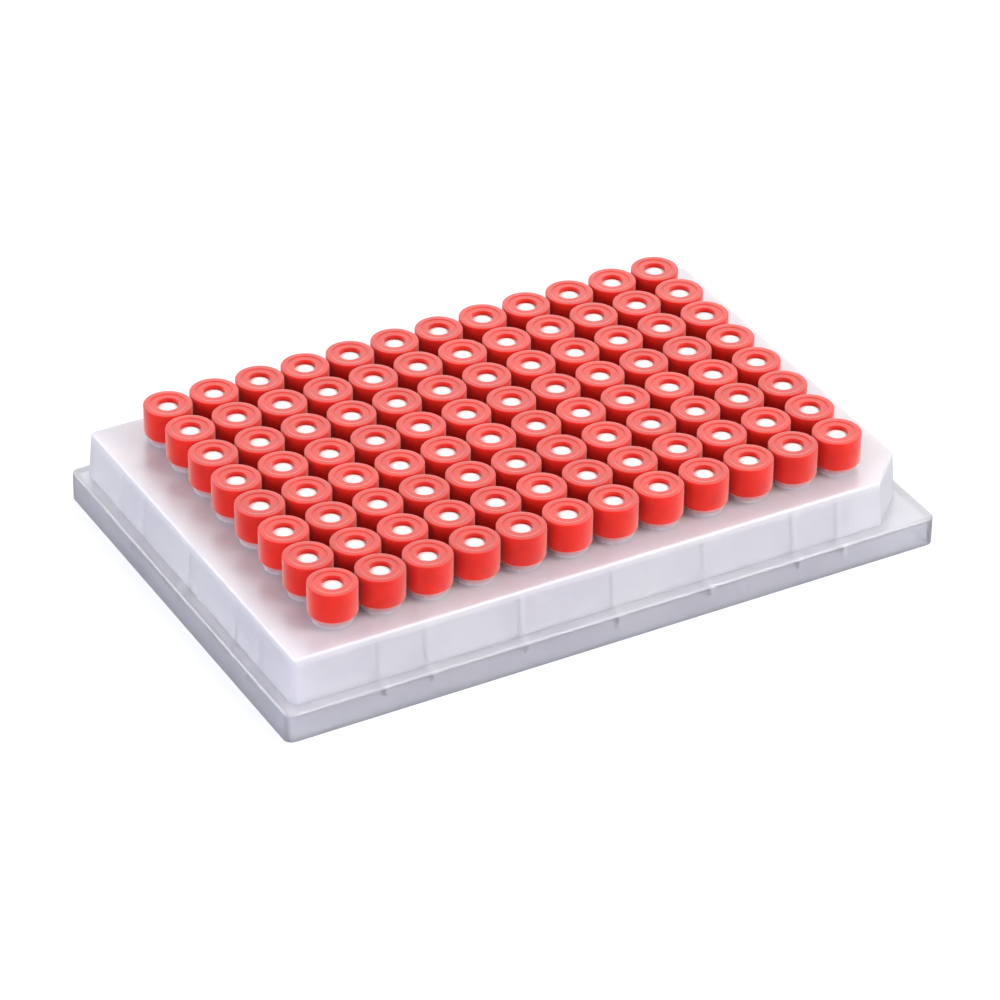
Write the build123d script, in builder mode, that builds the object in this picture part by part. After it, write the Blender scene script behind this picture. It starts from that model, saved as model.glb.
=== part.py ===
from build123d import *
import math
import os

# Low 96-well storage plate, each well closed by its own cap and septum.
# Millimetres, +Z up, origin at the middle of the plate's footprint on the bench.

# Outside of the plate
plate_length = 127.76
plate_width = 85.48
skirt_height = 5.5
skirt_corner_radius = 1.6
ledge_width = 2.3
ledge_edge_radius = 0.5
deck_height = 14.2
wall_draft = 4.5
upper_corner_radius = 1.25
corner_mark_size = 7.8
deck_edge_radius = 0.5

# Section of the moulding
wall_thickness = 1.3
deck_thickness = 1.5

# Wells, in columns along X and rows along Y
well_pitch = 9.0
column_count = 12
row_count = 8
well_bore = 5.6
well_wall = 0.85
neck_height = 4.8
well_tip_height = 1.2
well_cone_angle = 50.0
well_floor_thickness = 0.9

# Gusset ribs between the walls and the outer wells, counted in pitches from the middle
rib_thickness = 1.0
rib_foot_height = 3.1
long_wall_ribs = (0, 2, 4, 5)
short_wall_ribs = (0, 2, 3)

# Caps and septa
cap_diameter = 8.7
cap_height = 5.7
cap_roof = 1.0
cap_hole = 4.05
cap_bore_clearance = 0.05
septum_thickness = 1.3
septum_clearance = 0.1

# Heights and fits that follow from the sizes above
ledge_underside = skirt_height - wall_thickness
deck_underside = deck_height - deck_thickness
neck_diameter = well_bore + 2 * well_wall
rim_height = deck_height + neck_height
cap_bore = neck_diameter + 2 * cap_bore_clearance
septum_diameter = cap_bore - 2 * septum_clearance
roof_underside = rim_height + septum_thickness
cap_top = roof_underside + cap_roof
cap_foot = cap_top - cap_height
outer_row_y = (row_count - 1) / 2 * well_pitch
outer_column_x = (column_count - 1) / 2 * well_pitch


def cone_height(diameter):
    """Height of a well's pointed end at a given diameter."""
    return diameter / 2 / math.tan(math.radians(well_cone_angle))


def pointed_pin(diameter, tip_height, top_height):
    """Solid of revolution: a straight round pin with a conical lower end."""
    shoulder = tip_height + cone_height(diameter)
    with BuildPart() as pin:
        with BuildSketch(Plane.XZ):
            with BuildLine():
                Polyline(
                    (0, tip_height),
                    (diameter / 2, shoulder),
                    (diameter / 2, top_height),
                    (0, top_height),
                    close=True,
                )
            make_face()
        revolve(axis=Axis.Z)
    return pin.part


def rib_places(steps):
    """Distances from the middle to the ribs on one wall, both ways."""
    return sorted({side * step * well_pitch for step in steps for side in (-1, 1)})


# Outline of the upper body at its foot, with one corner cut off to show which way round it is
with BuildSketch() as upper_outline:
    Rectangle(plate_length - 2 * ledge_width, plate_width - 2 * ledge_width)
    front_right = upper_outline.vertices().sort_by(Axis.Y)[:2].sort_by(Axis.X)[-1]
    chamfer(front_right, length=corner_mark_size)
    fillet(upper_outline.vertices(), radius=upper_corner_radius)

# Space under the deck that the walls enclose, with the ribs left standing in it
with BuildPart() as hollow:
    with BuildSketch():
        RectangleRounded(
            plate_length - 2 * wall_thickness,
            plate_width - 2 * wall_thickness,
            skirt_corner_radius - wall_thickness,
        )
    extrude(amount=ledge_underside)
    with BuildSketch(Plane.XY.offset(ledge_underside)):
        offset(upper_outline.sketch, amount=-wall_thickness)
    extrude(amount=deck_underside - ledge_underside, taper=wall_draft)
    with BuildSketch(Plane.XY.offset(rib_foot_height)):
        for side in (-1, 1):
            for x in rib_places(long_wall_ribs):
                with Locations((x, side * (outer_row_y + well_pitch))):
                    Rectangle(rib_thickness, 2 * well_pitch)
            for y in rib_places(short_wall_ribs):
                with Locations((side * (outer_column_x + well_pitch), y)):
                    Rectangle(2 * well_pitch, rib_thickness)
    extrude(amount=deck_underside - rib_foot_height, mode=Mode.SUBTRACT)

well_outside = pointed_pin(neck_diameter, well_tip_height, rim_height)
well_inside = pointed_pin(well_bore, well_tip_height + well_floor_thickness, rim_height)

# One moulding: skirt, ledge, drafted walls, deck, ribs and the wells that hang from the deck
with BuildPart() as plate:
    with BuildSketch():
        RectangleRounded(plate_length, plate_width, skirt_corner_radius)
    extrude(amount=skirt_height)
    fillet(plate.faces().sort_by(Axis.Z)[-1].edges(), radius=ledge_edge_radius)
    with BuildSketch(Plane.XY.offset(skirt_height)):
        add(upper_outline.sketch)
    extrude(amount=deck_height - skirt_height, taper=wall_draft)
    fillet(plate.faces().sort_by(Axis.Z)[-1].edges(), radius=deck_edge_radius)
    add(hollow.part, mode=Mode.SUBTRACT)
    with GridLocations(well_pitch, well_pitch, column_count, row_count):
        add(well_outside)
    with GridLocations(well_pitch, well_pitch, column_count, row_count):
        add(well_inside, mode=Mode.SUBTRACT)

# Push-on cap: a cup turned over, open in the middle of its roof for the needle
with BuildPart() as cap:
    with BuildSketch(Plane.XY.offset(cap_foot)):
        Circle(cap_diameter / 2)
    extrude(amount=cap_height)
    with BuildSketch(Plane.XY.offset(cap_foot)):
        Circle(cap_bore / 2)
    extrude(amount=roof_underside - cap_foot, mode=Mode.SUBTRACT)
    with BuildSketch(Plane.XY.offset(roof_underside)):
        Circle(cap_hole / 2)
    extrude(amount=cap_roof, mode=Mode.SUBTRACT)

# Septum: a soft disc held down on the rim of the neck by the cap's roof
with BuildPart() as septum:
    with BuildSketch(Plane.XY.offset(rim_height)):
        Circle(septum_diameter / 2)
    extrude(amount=septum_thickness)


def write_node(part, name):
    """Label a finished piece and write it to its own file."""
    part.label = name
    export_step(part, f"parts/{name}.step")


os.makedirs("parts", exist_ok=True)
write_node(plate.part, "plate")
for column in range(column_count):
    column_x = column * well_pitch - outer_column_x
    for piece, kind in ((cap, "caps"), (septum, "septa")):
        with BuildPart() as column_set:
            with Locations((column_x, 0)):
                with GridLocations(well_pitch, well_pitch, 1, row_count):
                    add(piece.part)
        write_node(column_set.part, f"{kind}_column_{column + 1:02d}")
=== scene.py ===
import bpy
import bmesh
import math
import random
from mathutils import Matrix, Vector


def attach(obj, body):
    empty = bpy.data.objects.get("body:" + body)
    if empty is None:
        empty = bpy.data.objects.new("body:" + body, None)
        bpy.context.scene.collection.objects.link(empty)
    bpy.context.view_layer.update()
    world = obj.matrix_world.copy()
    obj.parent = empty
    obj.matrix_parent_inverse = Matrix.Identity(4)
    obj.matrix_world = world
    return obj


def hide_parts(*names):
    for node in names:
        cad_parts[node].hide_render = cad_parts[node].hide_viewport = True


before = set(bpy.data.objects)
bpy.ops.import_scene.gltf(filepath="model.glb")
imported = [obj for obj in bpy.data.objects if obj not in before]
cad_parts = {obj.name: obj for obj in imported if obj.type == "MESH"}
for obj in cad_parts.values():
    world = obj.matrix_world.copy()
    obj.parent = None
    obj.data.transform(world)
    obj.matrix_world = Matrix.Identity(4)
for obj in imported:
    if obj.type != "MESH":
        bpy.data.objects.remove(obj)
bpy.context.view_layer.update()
mm = 0.001
print("frame loaded:", len(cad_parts), "nodes")


def linear(hexCode):
    # an sRGB hex colour as the linear colour that shaders work in
    parts = [int(hexCode[i:i + 2], 16) / 255 for i in (1, 3, 5)]
    return [p / 12.92 if p <= 0.04045 else ((p + 0.055) / 1.055) ** 2.4 for p in parts] + [1.0]


def addNode(tree, kind, links=None, **settings):
    # links: input name or number -> an output socket to join, or a plain value to set
    node = tree.nodes.new("ShaderNode" + kind)
    for name, value in settings.items():
        setattr(node, name, value)
    for name, value in (links or {}).items():
        if isinstance(value, bpy.types.NodeSocket):
            tree.links.new(value, node.inputs[name])
        else:
            node.inputs[name].default_value = value
    return node


def setStops(ramp, stops):
    # stops: (place on the ramp, colour or plain value), in order
    for _ in stops[2:]:
        ramp.elements.new(0.5)
    for stop, (place, value) in zip(ramp.elements, stops):
        stop.position = place
        stop.color = linear(value) if isinstance(value, str) else (value, value, value, 1)


def newMaterial(name):
    material = bpy.data.materials.new(name)
    material.use_nodes = True
    material.node_tree.nodes.clear()
    return material, material.node_tree


# Natural polypropylene, injection moulded: milky and see-through at once, so light walks about
# in the walls, what stands behind them shows as a blur, and the skin has a soft eggshell gloss.
def naturalPolypropylene():
    look = {
        "clouds": ((0.35, "#F3EEF5"), (0.68, "#F9F5FA")),     # the resin thins and thickens along its flow
        "cloudSize": 22 * mm,
        "roughness": (0.26, 0.34), "ior": 1.49,
        "skinGloss": 0.35, "skinRoughness": 0.12,     # the surface that froze first, against the mould
        "scatter": 3 * mm, "scatterByColour": (1.0, 0.95, 0.9),
        "grainSize": 0.45 * mm,       # spark-eroded mould skin, drawn about four times too coarse to show
        "grainDepth": 0.010 * mm,
        "sinkSize": 9 * mm,           # shallow sink marks over ribs and wells
        "sinkDepth": 0.05 * mm,
        # mm up from the bench, share of light let through: clear skirt, milkier ledge and walls, milky deck
        "clarity": (
            (0.1, 0.5), (0.8, 0.86), (5.15, 0.86), (5.4, 0.60), (6.3, 0.56), (12.3, 0.54),
            (12.6, 0.64), (12.9, 0.46), (14.15, 0.41), (14.4, 0.42), (14.9, 0.50)),
        # mm up from the bench, tone: cooler in the clear skirt, and a painted red glow on the necks that
        # stands in for the caps' red light bleeding through them
        "toneWithPaintedNeckGlow": (
            (5.2, "#F9FCFC"), (6.3, "#FFFFFF"), (14.25, "#FFFFFF"),
            (14.5, "#FFE0DE"), (15.1, "#FFB8B4"), (15.5, "#FF9894")),
        "reach": 80 * mm,             # how far the lists that go by distance can run
    }
    # where a rib or a wall backs the surface there is more plastic, and it looks milkier
    backing = {
        "clarityLeft": 0.70,
        "longRibs": (0, 18, 36, 45), "shortRibs": (0, 18, 27),     # mm from the middle, both ways
        "ribHalf": 0.25, "ribSoft": 0.45,
        # mm up from the bench, how much of a rib shows
        "ribRise": (
            (2.6, 0), (3.4, 0.5), (5.6, 0.9), (6.2, 0.40), (14.0, 0.40), (14.15, 0.6), (14.3, 0.6),
            (14.4, 0)),
        # mm from the middle: the ribs start past the outer wells, and the deck's rim lies over the walls
        "pastRow": ((32.0, 0), (33.0, 1)), "pastColumn": ((50.0, 0), (51.0, 1)),
        "endWall": ((59.0, 0), (59.6, 0.3)), "sideWall": ((37.8, 0), (38.4, 0.3)),
        "deckBand": ((13.6, 0), (14.0, 1)),
    }
    material, tree = newMaterial("naturalPolypropylene")
    place = addNode(tree, "TexCoord").outputs["Object"]
    cloud = addNode(tree, "TexNoise", {"Vector": place, "Scale": 1 / look["cloudSize"], "Detail": 3.0})
    tint = addNode(tree, "ValToRGB", {"Fac": cloud.outputs["Fac"]})
    setStops(tint.color_ramp, look["clouds"])
    gloss = addNode(tree, "MapRange", {
        "Value": cloud.outputs["Fac"], "To Min": look["roughness"][0], "To Max": look["roughness"][1]})
    sink = addNode(tree, "TexNoise", {"Vector": place, "Scale": 1 / look["sinkSize"], "Detail": 1.0})
    grain = addNode(tree, "TexNoise", {"Vector": place, "Scale": 1 / look["grainSize"], "Detail": 2.0})
    wave = addNode(tree, "Bump", {
        "Height": sink.outputs["Fac"], "Distance": look["sinkDepth"], "Strength": 1.0})
    skin = addNode(tree, "Bump", {
        "Height": grain.outputs["Fac"], "Distance": look["grainDepth"], "Strength": 1.0,
        "Normal": wave.outputs["Normal"]})
    spot = addNode(tree, "SeparateXYZ", {"Vector": place})
    height = spot.outputs["Z"]
    along = addNode(tree, "Math", {0: spot.outputs["X"]}, operation="ABSOLUTE").outputs["Value"]
    across = addNode(tree, "Math", {0: spot.outputs["Y"]}, operation="ABSOLUTE").outputs["Value"]

    def byDistance(distance, stops):
        # a value or colour that goes from stop to stop with the distance in mm
        share = addNode(tree, "MapRange", {"Value": distance, "From Max": look["reach"]})
        ramp = addNode(tree, "ValToRGB", {"Fac": share.outputs["Result"]})
        setStops(ramp.color_ramp, [(far * mm / look["reach"], value) for far, value in stops])
        return ramp.outputs["Color"]

    def ribStops(ribs):
        # each rib comes in softly on one side and goes out on the other; the middle one has one side
        half, edge = backing["ribHalf"], backing["ribHalf"] + backing["ribSoft"]
        steps = ((-edge, 0), (-half, 1), (half, 1), (edge, 0))
        return [(rib + step, value) for rib in ribs for step, value in steps if rib + step > 0]

    longRibs = addNode(tree, "Math", {
        0: byDistance(along, ribStops(backing["longRibs"])),
        1: byDistance(across, backing["pastRow"])}, operation="MULTIPLY")
    shortRibs = addNode(tree, "Math", {
        0: byDistance(across, ribStops(backing["shortRibs"])),
        1: byDistance(along, backing["pastColumn"])}, operation="MULTIPLY")
    ribs = addNode(tree, "Math", {
        0: longRibs.outputs["Value"], 1: shortRibs.outputs["Value"]}, operation="MAXIMUM")
    shownRibs = addNode(tree, "Math", {
        0: ribs.outputs["Value"], 1: byDistance(height, backing["ribRise"])}, operation="MULTIPLY")
    walls = addNode(tree, "Math", {
        0: byDistance(along, backing["endWall"]),
        1: byDistance(across, backing["sideWall"])}, operation="MAXIMUM")
    deckRim = addNode(tree, "Math", {
        0: walls.outputs["Value"], 1: byDistance(height, backing["deckBand"])}, operation="MULTIPLY")
    backed = addNode(tree, "Math", {
        0: shownRibs.outputs["Value"], 1: deckRim.outputs["Value"]}, operation="MAXIMUM")
    milky = addNode(tree, "MapRange", {
        "Value": backed.outputs["Value"], "To Min": 1.0, "To Max": backing["clarityLeft"]})
    clear = addNode(tree, "Math", {
        0: byDistance(height, look["clarity"]), 1: milky.outputs["Result"]}, operation="MULTIPLY")
    # the height tone multiplies the painted red glow of the caps' light into the necks
    tintWithPaintedNeckGlow = addNode(tree, "MixRGB", {
        "Fac": 1.0, "Color1": tint.outputs["Color"],
        "Color2": byDistance(height, look["toneWithPaintedNeckGlow"])}, blend_type="MULTIPLY")
    shader = addNode(tree, "BsdfPrincipled", {
        "Base Color": tintWithPaintedNeckGlow.outputs["Color"], "Roughness": gloss.outputs["Result"],
        "Normal": skin.outputs["Normal"],
        "IOR": look["ior"], "Transmission Weight": clear.outputs["Value"],
        "Coat Weight": look["skinGloss"], "Coat Roughness": look["skinRoughness"],
        "Subsurface Weight": 1.0, "Subsurface Scale": look["scatter"],
        "Subsurface Radius": look["scatterByColour"]})
    addNode(tree, "OutputMaterial", {"Surface": shader.outputs["BSDF"]})
    return material


# Red polyethylene, injection moulded: a strong opaque red with a waxy skin, so the colour glows a
# little at thin edges and every top takes a broad pale sheen from the lamps.
def redPolyethylene():
    look = {
        "streaks": ((0.3, "#C61607"), (0.75, "#D91C09")),      # pigment that was stirred in unevenly
        "streakSize": 3.0 * mm,
        "roughness": (0.28, 0.38), "ior": 1.51, "shine": 0.18,
        "wax": 1.0, "waxRoughness": 0.42, "waxTone": "#FFF0E4",    # the pale bloom at a flat look
        "scatter": 1.5 * mm, "scatterByColour": (1.0, 0.15, 0.12), "scattered": 0.5,
        "rippleStep": 5.03 * mm,      # a slow ripple up the side, from the mould's own lathe work
        "rippleDepth": 0.014 * mm,
        "grainSize": 0.30 * mm,       # matt mould skin, drawn coarser than it is to show
        "grainDepth": 0.010 * mm,
    }
    material, tree = newMaterial("redPolyethylene")
    place = addNode(tree, "TexCoord").outputs["Object"]
    streak = addNode(tree, "TexNoise", {"Vector": place, "Scale": 1 / look["streakSize"], "Detail": 3.0})
    shot = addNode(tree, "Attribute", attribute_name="shot")     # each cap's own small shift in shade
    blend = addNode(tree, "Math", {0: streak.outputs["Fac"], 1: shot.outputs["Fac"]}, operation="ADD")
    tint = addNode(tree, "ValToRGB", {"Fac": blend.outputs["Value"]})
    setStops(tint.color_ramp, look["streaks"])
    gloss = addNode(tree, "MapRange", {
        "Value": streak.outputs["Fac"], "To Min": look["roughness"][0], "To Max": look["roughness"][1]})
    wavesPerUnit = 20 / math.tau      # of the wave texture at a scale of 1
    ripple = addNode(tree, "TexWave", {
        "Vector": place, "Scale": 1 / look["rippleStep"] / wavesPerUnit, "Distortion": 1.5,
        "Detail": 1.0, "Detail Scale": 2.0}, wave_type="BANDS", bands_direction="Z")
    grain = addNode(tree, "TexNoise", {"Vector": place, "Scale": 1 / look["grainSize"], "Detail": 2.0})
    turned = addNode(tree, "Bump", {
        "Height": ripple.outputs["Fac"], "Distance": look["rippleDepth"], "Strength": 1.0})
    skin = addNode(tree, "Bump", {
        "Height": grain.outputs["Fac"], "Distance": look["grainDepth"], "Strength": 1.0,
        "Normal": turned.outputs["Normal"]})
    shader = addNode(tree, "BsdfPrincipled", {
        "Base Color": tint.outputs["Color"], "Roughness": gloss.outputs["Result"],
        "Normal": skin.outputs["Normal"],
        "IOR": look["ior"], "Specular IOR Level": look["shine"],
        "Sheen Weight": look["wax"], "Sheen Roughness": look["waxRoughness"],
        "Sheen Tint": linear(look["waxTone"]),
        "Subsurface Weight": look["scattered"], "Subsurface Scale": look["scatter"],
        "Subsurface Radius": look["scatterByColour"]})
    addNode(tree, "OutputMaterial", {"Surface": shader.outputs["BSDF"]})
    return material


# Silicone rubber sheet, calendered and punched into discs: soft white, with a dull skin that takes
# dust, so it never shines as the caps do.
def whiteSilicone():
    look = {
        "mottle": ((0.3, "#F8F2F0"), (0.6, "#FFFCFB")),
        "mottleSize": 1.2 * mm,
        "roughness": (0.48, 0.60), "ior": 1.41,
        "scatter": 0.5 * mm, "scatterByColour": (1.0, 0.9, 0.85), "scattered": 0.25,
        "skinSize": 0.2 * mm, "skinDepth": 0.008 * mm,
    }
    material, tree = newMaterial("whiteSilicone")
    place = addNode(tree, "TexCoord").outputs["Object"]
    mottle = addNode(tree, "TexNoise", {"Vector": place, "Scale": 1 / look["mottleSize"], "Detail": 3.0})
    tint = addNode(tree, "ValToRGB", {"Fac": mottle.outputs["Fac"]})
    setStops(tint.color_ramp, look["mottle"])
    gloss = addNode(tree, "MapRange", {
        "Value": mottle.outputs["Fac"], "To Min": look["roughness"][0], "To Max": look["roughness"][1]})
    fine = addNode(tree, "TexNoise", {"Vector": place, "Scale": 1 / look["skinSize"], "Detail": 2.0})
    skin = addNode(tree, "Bump", {
        "Height": fine.outputs["Fac"], "Distance": look["skinDepth"], "Strength": 1.0})
    shader = addNode(tree, "BsdfPrincipled", {
        "Base Color": tint.outputs["Color"], "Roughness": gloss.outputs["Result"],
        "Normal": skin.outputs["Normal"],
        "IOR": look["ior"], "Subsurface Weight": look["scattered"], "Subsurface Scale": look["scatter"],
        "Subsurface Radius": look["scatterByColour"]})
    addNode(tree, "OutputMaterial", {"Surface": shader.outputs["BSDF"]})
    return material


polypropylene = naturalPolypropylene()
capRed = redPolyethylene()
septumWhite = whiteSilicone()
print("materials made")

# the moulded plate keeps its CAD form
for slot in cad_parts["plate"].material_slots:
    slot.material = polypropylene


def roundCorner(corner, before, after, radius, steps):
    # points that turn from one side of a profile to the next on a soft corner
    start = corner + (before - corner).normalized() * radius
    end = corner + (after - corner).normalized() * radius
    return [
        (1 - t) ** 2 * start + 2 * t * (1 - t) * corner + t ** 2 * end
        for t in (k / steps for k in range(steps + 1))
    ]


def softened(corners, steps=3):
    # corners are (radius from the axis, height, softness), in mm; gives the closed profile's points
    points = []
    for k, (x, z, soft) in enumerate(corners):
        here = Vector((x, z))
        if soft == 0:
            points.append(here)
            continue
        before = Vector(corners[k - 1][:2])
        after = Vector(corners[(k + 1) % len(corners)][:2])
        points += roundCorner(here, before, after, soft, steps)
    return points


def spin(mesh, profile, centre, segments, turn, closed):
    # turns a profile about the upright axis through centre; a point on the axis becomes one vertex
    rings = []
    for point in profile:
        if point.x < 1e-6:
            rings.append([mesh.verts.new(centre + Vector((0, 0, point.y * mm)))])
            continue
        rings.append([
            mesh.verts.new(centre + Vector((
                math.cos(turn + k * math.tau / segments) * point.x * mm,
                math.sin(turn + k * math.tau / segments) * point.x * mm,
                point.y * mm)))
            for k in range(segments)
        ])
    pairs = list(zip(rings, rings[1:]))
    if closed:
        pairs.append((rings[-1], rings[0]))
    faces = []
    for low, high in pairs:
        for k in range(segments):
            after = (k + 1) % segments
            if len(low) == 1:
                faces.append(mesh.faces.new((low[0], high[after], high[k])))
            elif len(high) == 1:
                faces.append(mesh.faces.new((low[k], low[after], high[0])))
            else:
                faces.append(mesh.faces.new((low[k], low[after], high[after], high[k])))
    return faces


def finishMesh(mesh, name, material, nodeName):
    bmesh.ops.recalc_face_normals(mesh, faces=mesh.faces)
    for face in mesh.faces:
        face.smooth = True
    data = bpy.data.meshes.new(name)
    mesh.to_mesh(data)
    mesh.free()
    data.materials.append(material)
    data.set_sharp_from_angle(angle=math.radians(40))      # turns tighter than this stay crisp
    piece = bpy.data.objects.new(name, data)
    bpy.context.scene.collection.objects.link(piece)
    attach(piece, "root")
    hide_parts(nodeName)


wells = {"pitch": 9.0, "rows": 8, "columns": 12}      # mm between neighbours, both ways


def wellPlaces(column):
    x = (column - (wells["columns"] - 1) / 2) * wells["pitch"] * mm
    middle = (wells["rows"] - 1) / 2
    return [Vector((x, (row - middle) * wells["pitch"] * mm, 0)) for row in range(wells["rows"])]


cap = {
    "foot": 15.6, "top": 21.3,              # mm above the bench
    "radius": 4.35, "bore": 3.70,
    "roof": 1.0, "hole": 2.025, "holeEdge": 0.06,
    "recess": 3.15, "recessDepth": 0.09, "recessSlope": 0.16,      # the dished ring round the hole
    "edge": 0.13, "recessEdge": 0.07, "roofEdge": 0.12,
    "footIn": 0.24, "footRise": 0.30, "footEdge": 0.08,     # the foot is turned in under the side
    "draw": 0.03, "drawRise": 1.2,          # the side eases in towards the foot
    "drawEdges": (0.12, 0.20),
    "leadIn": 0.12, "leadRise": 0.25,       # opens the bore, so that it finds the neck
    "gate": 0.34, "gateHeight": 17.6,       # the nub left where the cap was cut off its runner
    "gateSunk": 0.12, "gateFlatness": 0.32,
    "shadeShift": 0.12,                     # how far one cap may stray from the next
    "segments": 72,
}


def capProfile():
    top, foot, radius, hole, bore = (cap[k] for k in ("top", "foot", "radius", "hole", "bore"))
    dish = top - cap["recessDepth"]
    corners = [
        (bore + cap["leadIn"], foot, 0.0),
        (radius - cap["footIn"], foot, cap["footEdge"]),
        (radius - cap["draw"], foot + cap["footRise"], cap["drawEdges"][0]),
        (radius, foot + cap["drawRise"], cap["drawEdges"][1]),
        (radius, top, cap["edge"]),
        (cap["recess"] + cap["recessSlope"], top, cap["recessEdge"]),
        (cap["recess"], dish, cap["recessEdge"]),
        (hole + cap["holeEdge"], dish, 0.0),
        (hole, dish - cap["holeEdge"], 0.0),
        (hole, top - cap["roof"], 0.0),
        (bore, top - cap["roof"], cap["roofEdge"]),
        (bore, foot + cap["leadRise"], 0.0),
    ]
    return softened(corners)


def gateNub(mesh, centre, angle):
    # a small rough dome on the cap's side
    outward = Vector((math.cos(angle), math.sin(angle), 0))
    reach = (cap["radius"] - cap["gateSunk"]) * mm
    seat = centre + outward * reach + Vector((0, 0, cap["gateHeight"] * mm))
    turn = outward.to_track_quat("Z", "Y").to_matrix().to_4x4()
    made = bmesh.ops.create_uvsphere(
        mesh, u_segments=10, v_segments=6, radius=cap["gate"] * mm,
        matrix=Matrix.Translation(seat) @ turn @ Matrix.Diagonal((1, 1, cap["gateFlatness"], 1)))
    return {face for vert in made["verts"] for face in vert.link_faces}


def capColumn(column, dice):
    mesh = bmesh.new()
    shot = mesh.faces.layers.float.new("shot")
    profile = capProfile()
    for centre in wellPlaces(column):
        turn = dice.uniform(0, math.tau)
        shade = dice.uniform(-cap["shadeShift"], cap["shadeShift"])
        faces = spin(mesh, profile, centre, cap["segments"], turn, True)
        faces += gateNub(mesh, centre, turn)
        for face in faces:
            face[shot] = shade
    label = f"caps_column_{column + 1:02d}"
    finishMesh(mesh, "pushOnCaps" + label[-2:], capRed, label)


septum = {
    "under": 19.0, "seat": 20.3,       # mm, the disc between the rim and the cap's roof
    "radius": 3.6, "bulge": 0.30,      # the cap's roof squeezes the middle up into the hole
    "bulgeRadius": 1.97, "bulgeFullness": 6,       # a higher power makes a flatter middle
    "bulgeSteps": (0, 0.2, 0.4, 0.6, 0.75, 0.85, 0.92, 0.97, 1.0),     # closer where it bends most
    "edge": 0.08,
    "segments": 48,
}


def septumProfile():
    seat, under, radius, edge = (septum[k] for k in ("seat", "under", "radius", "edge"))
    dome = [
        Vector((septum["bulgeRadius"] * t, seat + septum["bulge"] * (1 - t ** septum["bulgeFullness"])))
        for t in septum["bulgeSteps"]
    ]
    rim = [
        Vector((radius - edge, seat)),
        Vector((radius, seat - edge)),
        Vector((radius, under + edge)),
        Vector((radius - edge, under)),
        Vector((0, under)),
    ]
    return dome + rim


def septumColumn(column, dice):
    mesh = bmesh.new()
    profile = septumProfile()
    for centre in wellPlaces(column):
        spin(mesh, profile, centre, septum["segments"], dice.uniform(0, math.tau), False)
    label = f"septa_column_{column + 1:02d}"
    finishMesh(mesh, "septa" + label[-2:], septumWhite, label)


dice = random.Random(96)      # turns each piece a little and shifts the caps' shade
for column in range(wells["columns"]):
    capColumn(column, dice)
    septumColumn(column, dice)
print("caps and septa made:", wells["columns"] * wells["rows"])


# Studio: a pale table, a bright card all round, and soft lamps
table = {
    "size": 6.0, "squares": 24,        # metres, and how finely its mesh is cut
    "colour": "#B6B7C2", "roughness": (0.55, 0.70), "shine": 0.2,
    "speckle": 2.5 * mm,
    "lift": 0.60,        # how far the bare table shows above its own light
    "through": 0.26,     # the same, seen through clear plastic
}


def studioTable():
    mesh = bmesh.new()
    bmesh.ops.create_grid(
        mesh, x_segments=table["squares"], y_segments=table["squares"], size=table["size"] / 2)
    data = bpy.data.meshes.new("studioTable")
    mesh.to_mesh(data)
    mesh.free()
    material, tree = newMaterial("paleLaminate")
    place = addNode(tree, "TexCoord").outputs["Object"]
    speckle = addNode(tree, "TexNoise", {"Vector": place, "Scale": 1 / table["speckle"], "Detail": 2.0})
    gloss = addNode(tree, "MapRange", {
        "Value": speckle.outputs["Fac"], "To Min": table["roughness"][0], "To Max": table["roughness"][1]})
    top = addNode(tree, "BsdfPrincipled", {
        "Base Color": linear(table["colour"]), "Roughness": gloss.outputs["Result"],
        "Specular IOR Level": table["shine"]})
    ray = addNode(tree, "LightPath")
    through = addNode(tree, "Math", {
        0: ray.outputs["Is Transmission Ray"], 1: table["through"]}, operation="MULTIPLY")
    bare = addNode(tree, "Math", {0: ray.outputs["Is Camera Ray"], 1: table["lift"]}, operation="MULTIPLY")
    lift = addNode(tree, "Math", {
        0: through.outputs["Value"], 1: bare.outputs["Value"]}, operation="MAXIMUM")
    glow = addNode(tree, "Emission", {"Color": linear("#FFFFFF"), "Strength": lift.outputs["Value"]})
    both = addNode(tree, "AddShader", {0: top.outputs["BSDF"], 1: glow.outputs["Emission"]})
    addNode(tree, "OutputMaterial", {"Surface": both.outputs["Shader"]})
    data.materials.append(material)
    piece = bpy.data.objects.new("studioTable", data)
    bpy.context.scene.collection.objects.link(piece)


card = {"seen": 1.0, "fill": 0.42}       # how bright it looks, where 1 is white, and how much it lights


def studioCard():
    # white where the camera, gloss or clear plastic sees it, and a soft grey fill for the light
    world = bpy.data.worlds.new("studioCard")
    world.use_nodes = True
    tree = world.node_tree
    tree.nodes.clear()
    ray = addNode(tree, "LightPath")
    plain = addNode(tree, "Math", {
        0: ray.outputs["Is Camera Ray"], 1: ray.outputs["Is Glossy Ray"]}, operation="MAXIMUM")
    seen = addNode(tree, "Math", {
        0: plain.outputs["Value"], 1: ray.outputs["Is Transmission Ray"]}, operation="MAXIMUM")
    grey = addNode(tree, "Background", {"Color": linear("#FFFFFF"), "Strength": card["fill"]})
    white = addNode(tree, "Background", {"Color": linear("#FFFFFF"), "Strength": card["seen"]})
    mix = addNode(tree, "MixShader", {
        "Fac": seen.outputs["Value"], 1: grey.outputs["Background"], 2: white.outputs["Background"]})
    addNode(tree, "OutputWorld", {"Surface": mix.outputs["Shader"]})
    bpy.context.scene.world = world


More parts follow.
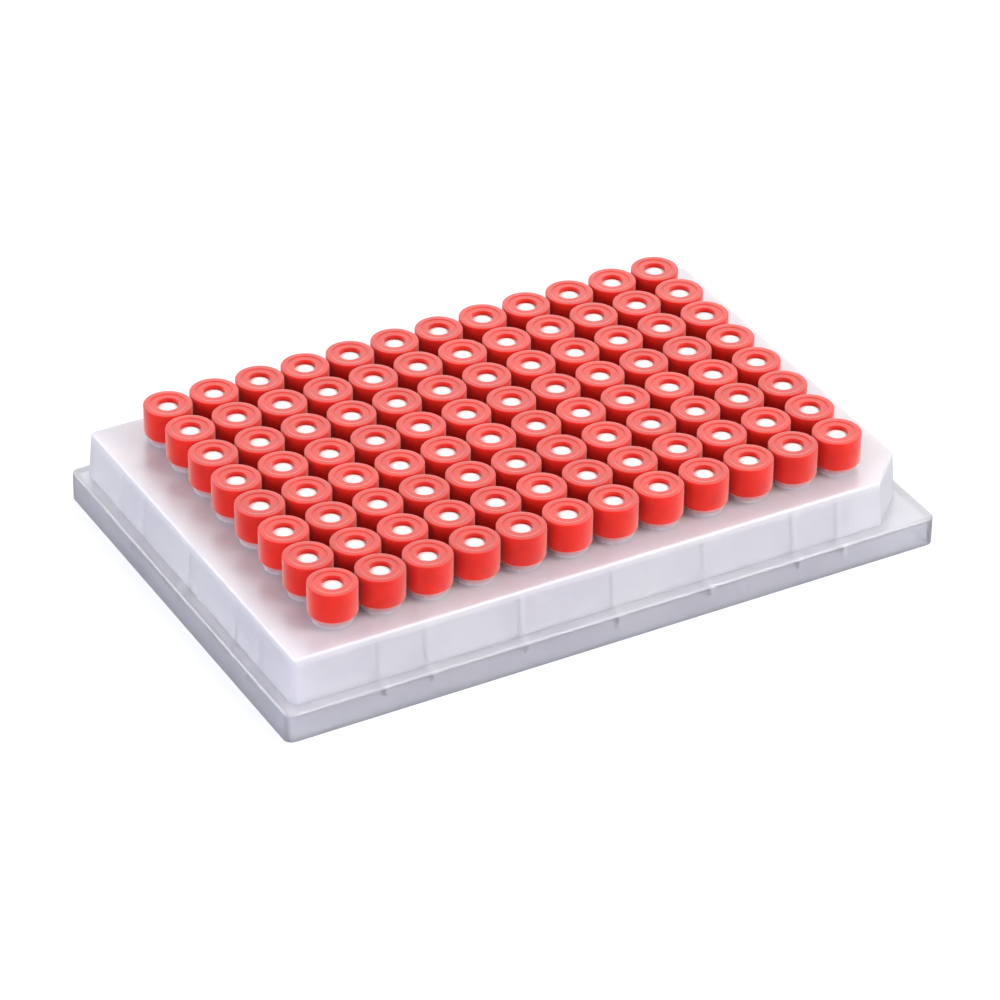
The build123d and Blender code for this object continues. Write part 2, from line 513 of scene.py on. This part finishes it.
# where each lamp stands as seen from the plate, its distance and size in metres, how bright its face is,
# where 1 is white, and its colour
lamps = {
    "backBox": ((0.408, 0.729, 0.549), 1.4, (0.9, 0.7), 1.6, "#FFFFFF"),
    "frontEdgeBox": ((0.41, -0.35, 0.84), 1.4, (0.3, 0.8), 11.0, "#FFFFFF"),
    "leftEdgeBox": ((-0.45, 0.7, 0.5), 1.4, (0.4, 0.4), 9.0, "#FFFFFF"),
    "leftBox": ((-0.9, -0.36, 0.26), 1.6, (1.2, 0.7), 7.8, "#E8EEFF"),
    "rightBox": ((0.7, -0.7, 0.26), 1.6, (1.2, 0.7), 7.0, "#FFFFFF"),
}


def softbox(name, direction, distance, size, radiance, colour):
    lamp = bpy.data.lights.new(name, "AREA")
    lamp.shape = "RECTANGLE"
    lamp.size, lamp.size_y = size
    lamp.energy = radiance * math.pi * size[0] * size[1]
    lamp.color = linear(colour)[:3]
    holder = bpy.data.objects.new(name, lamp)
    towards = Vector(direction).normalized()
    holder.location = towards * distance
    holder.rotation_euler = towards.to_track_quat("Z", "Y").to_euler()
    bpy.context.scene.collection.objects.link(holder)


studioTable()
studioCard()
for name, settings in lamps.items():
    softbox(name, *settings)
print("studio lit")

camera = {
    "aim": (-4.5, -7.9, 10.0),      # mm
    "azimuth": -29.22, "elevation": 33.32, "roll": 0.62,      # degrees
    "distance": 876.5, "lens": 180.6, "sensor": 36.0,         # mm
    "sight": 20.0,                  # metres, past the far edge of the table
}


def placeCamera():
    azimuth, elevation, roll = (math.radians(camera[k]) for k in ("azimuth", "elevation", "roll"))
    forward = Vector((
        -math.sin(azimuth) * math.cos(elevation),
        math.cos(azimuth) * math.cos(elevation),
        -math.sin(elevation)))
    level = forward.cross(Vector((0, 0, 1))).normalized()
    upright = level.cross(forward)
    right = level * math.cos(roll) + upright * math.sin(roll)
    above = right.cross(forward)
    turn = Matrix((right, above, -forward)).transposed().to_4x4()
    data = bpy.data.cameras.new("benchCamera")
    data.lens = camera["lens"]
    data.sensor_width = camera["sensor"]
    data.dof.use_dof = False
    data.clip_end = camera["sight"]
    holder = bpy.data.objects.new("benchCamera", data)
    spot = Vector(camera["aim"]) * mm - forward * camera["distance"] * mm
    holder.matrix_world = Matrix.Translation(spot) @ turn
    bpy.context.scene.collection.objects.link(holder)
    bpy.context.scene.camera = holder


placeCamera()
bpy.context.scene.view_settings.view_transform = "Standard"
print("camera placed")
